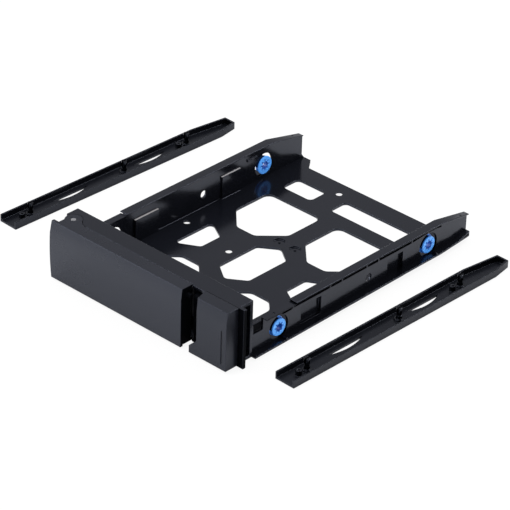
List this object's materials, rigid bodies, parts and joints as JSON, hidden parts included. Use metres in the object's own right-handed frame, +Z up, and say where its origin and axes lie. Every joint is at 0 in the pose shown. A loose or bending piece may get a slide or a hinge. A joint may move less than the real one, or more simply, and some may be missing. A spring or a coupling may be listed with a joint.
{
  "type": "hot_swap_drive_caddy",
  "caption": "Black moulded hot swap drive caddy with a swing-out handle lever, blue damping washers in its side walls and two loose fastening strips beside it",
  "frame": {"origin": "on the tray's underside, on its centreline, level with the front pair of side drive holes", "axes": "+X across the tray, towards the fixed block beside the lever's free end; +Y from the front face backwards, the way the caddy is pushed in; +Z up, out of the open drive bay"},
  "size_m": [0.1965, 0.1655, 0.0305],
  "materials": {
    "black_plastic": "finely grained charcoal black moulding",
    "lever_plastic": "smooth satin charcoal moulding",
    "strip_plastic": "satin charcoal moulding",
    "clear_plastic": "clear moulded light guide",
    "blue_rubber": "soft azure rubber",
    "pin_steel": "plain steel pin",
    "screw_steel": "zinc plated steel"
  },
  "bodies": {
    "tray": {"block_cover": "lever_plastic", "fastening_strip_left": "strip_plastic", "fastening_strip_right": "strip_plastic", "frame_screws": "screw_steel", "front_frame": "black_plastic", "light_pipe": "clear_plastic", "pivot_pin": "pin_steel", "tray_body": "black_plastic", "washer_front_left": "blue_rubber", "washer_front_right": "blue_rubber", "washer_rear_left": "blue_rubber", "washer_rear_right": "blue_rubber"},
    "lever": {"handle_lever": "lever_plastic"}
  },
  "joints": [
    {"name": "lever_hinge", "type": "hinge", "parent": "tray", "child": "lever", "pos_m": [-0.0507, -0.0262, 0.01525], "axis": [0, 0, -1], "range_deg": [0, 60]}
  ]
}
